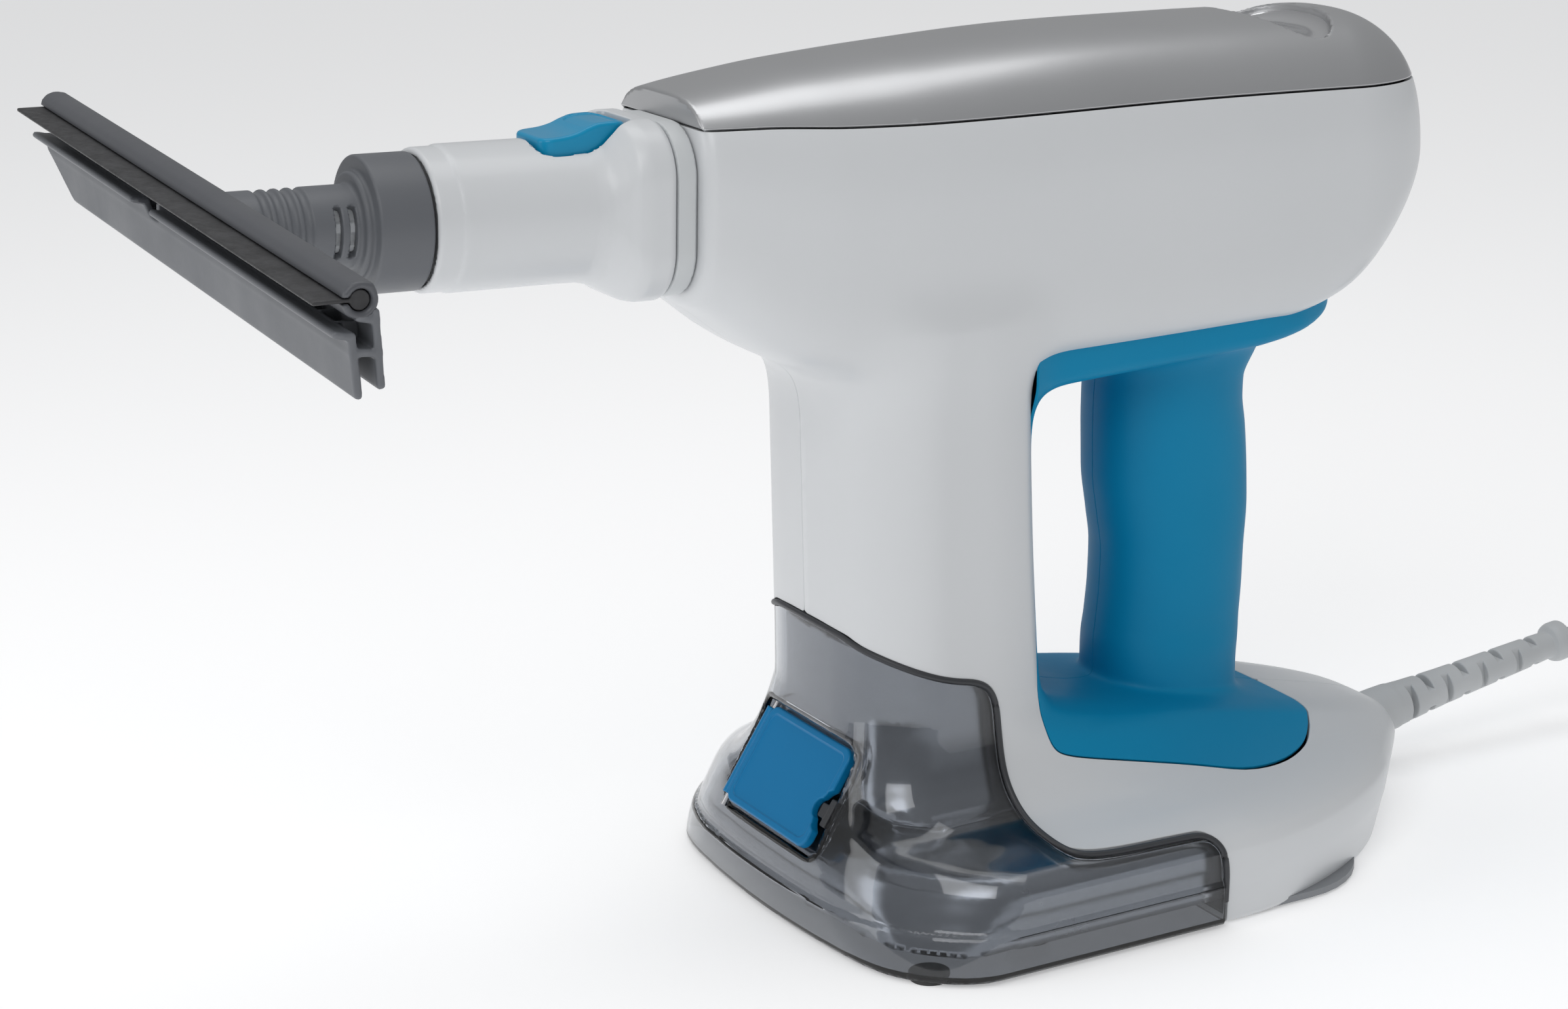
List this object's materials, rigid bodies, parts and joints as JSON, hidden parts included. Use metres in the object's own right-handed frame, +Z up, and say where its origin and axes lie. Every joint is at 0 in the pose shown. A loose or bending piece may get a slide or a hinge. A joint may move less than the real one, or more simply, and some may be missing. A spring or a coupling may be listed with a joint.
{
  "type": "handheld steam mop",
  "caption": "Handheld steam cleaner unit with looped handle, smoked base tank, release adaptor and wide squeegee nozzle.",
  "frame": {"origin": "centre of the footprint box on the floor the unit stands on", "axes": "+Z up, nozzle towards -X, mains cord towards +X, -Y is the side of the cap latch"},
  "size_m": [0.8149, 0.2968, 0.306],
  "materials": {
    "shell_white": "satin injection-moulded ABS, faint orange peel",
    "cover_silver": "satin silver lacquer with fine flake",
    "recess_trim": "bright plated trim",
    "soft_blue": "petrol-blue soft-touch skin, fine grain",
    "trigger_blue": "petrol-blue, slightly smoother than the skin",
    "steel": "plain zinc-plated steel",
    "black_plastic": "glass-filled nylon",
    "base_grey": "textured moulding",
    "foot_rubber": "matt rubber",
    "tank_smoke": "smoke-tinted clear polycarbonate",
    "seal_black": "silicone seal",
    "cap_blue": "deep petrol-blue moulding",
    "silicone_clear": "milky silicone tube",
    "boiler_alloy": "as-cast aluminium",
    "ceramic_tan": "phenolic body",
    "outlet_brass": "turned brass",
    "board_green": "coated circuit board",
    "ivory_plastic": "natural nylon",
    "wire_black": "insulated wire bundle",
    "collar_grey": "light grey moulding",
    "nozzle_grey": "dark grey moulding, fine texture",
    "insert_pale": "pale acetal",
    "nozzle_grey_light": "grey moulding, fine texture",
    "blade_rubber": "black wiper rubber",
    "cord_grey": "light grey flexible PVC",
    "tie_black": "nylon strap",
    "pin_steel": "nickel-plated"
  },
  "bodies": {
    "body": {"housing_near": "shell_white", "housing_far": "shell_white", "top_cover": "cover_silver", "thumb_recess": "recess_trim", "grip_near": "soft_blue", "grip_far": "soft_blue", "trigger_pin": "steel", "trigger_spring": "steel", "trigger_switch": "black_plastic", "base_plate": "base_grey", "rubber_feet": "foot_rubber", "housing_screws": "steel", "water_tank": "tank_smoke", "tank_gasket": "seal_black", "cap_pin": "steel", "cap_latch": "black_plastic", "intake_filter": "black_plastic", "intake_tube": "silicone_clear", "pump": "black_plastic", "pump_mounts": "seal_black", "feed_hose": "silicone_clear", "boiler": "boiler_alloy", "boiler_straps": "steel", "thermostat": "ceramic_tan", "thermal_fuse": "ceramic_tan", "steam_pipe": "steel", "outlet_spigot": "outlet_brass", "outlet_oring": "seal_black", "control_board": "board_green", "terminal_block": "ivory_plastic", "wire_loom": "wire_black", "strain_relief": "cord_grey", "power_cord": "cord_grey", "cord_coil": "cord_grey", "cord_tie": "tie_black", "cord_tail": "cord_grey", "plug_body": "cord_grey", "plug_pins": "pin_steel"},
    "filler_cap": {"filler_cap": "cap_blue", "cap_seal": "seal_black"},
    "trigger": {"steam_trigger": "trigger_blue"},
    "adaptor": {"adaptor_shell": "shell_white", "adaptor_collar": "collar_grey", "adaptor_core": "black_plastic", "button_pin": "steel", "button_spring": "steel"},
    "button": {"release_button": "cap_blue"},
    "squeegee": {"nozzle_cup": "nozzle_grey", "neck_insert": "insert_pale", "squeegee_head": "nozzle_grey_light", "squeegee_blade": "blade_rubber"}
  },
  "joints": [
    {"name": "adaptor_pull", "type": "slide", "parent": "body", "child": "adaptor", "axis": [-0.999, 0, 0.0436], "range_m": [0, 0.04]},
    {"name": "release_press", "type": "hinge", "parent": "adaptor", "child": "button", "pos_m": [-0.10817, 0, 0.27995], "axis": [0, 1, 0], "range_deg": [0, 5], "stiffness_Nm_per_rad": 1.2, "springref_deg": -1.72, "deforming": ["button_spring"]},
    {"name": "squeegee_twist", "type": "hinge", "parent": "adaptor", "child": "squeegee", "pos_m": [-0.15391, 0, 0.26393], "axis": [-0.999, 0, 0.0436], "range_deg": [-45, 45]},
    {"name": "cap_open", "type": "hinge", "parent": "body", "child": "filler_cap", "pos_m": [-0.01917, 0.031, 0.04744], "axis": [-0.5592, 0, -0.829], "range_deg": [0, 100]},
    {"name": "trigger_press", "type": "hinge", "parent": "body", "child": "trigger", "pos_m": [0.159, 0, 0.168], "axis": [0, 1, 0], "range_deg": [0, 2.5], "stiffness_Nm_per_rad": 2, "springref_deg": -1.72}
  ]
}
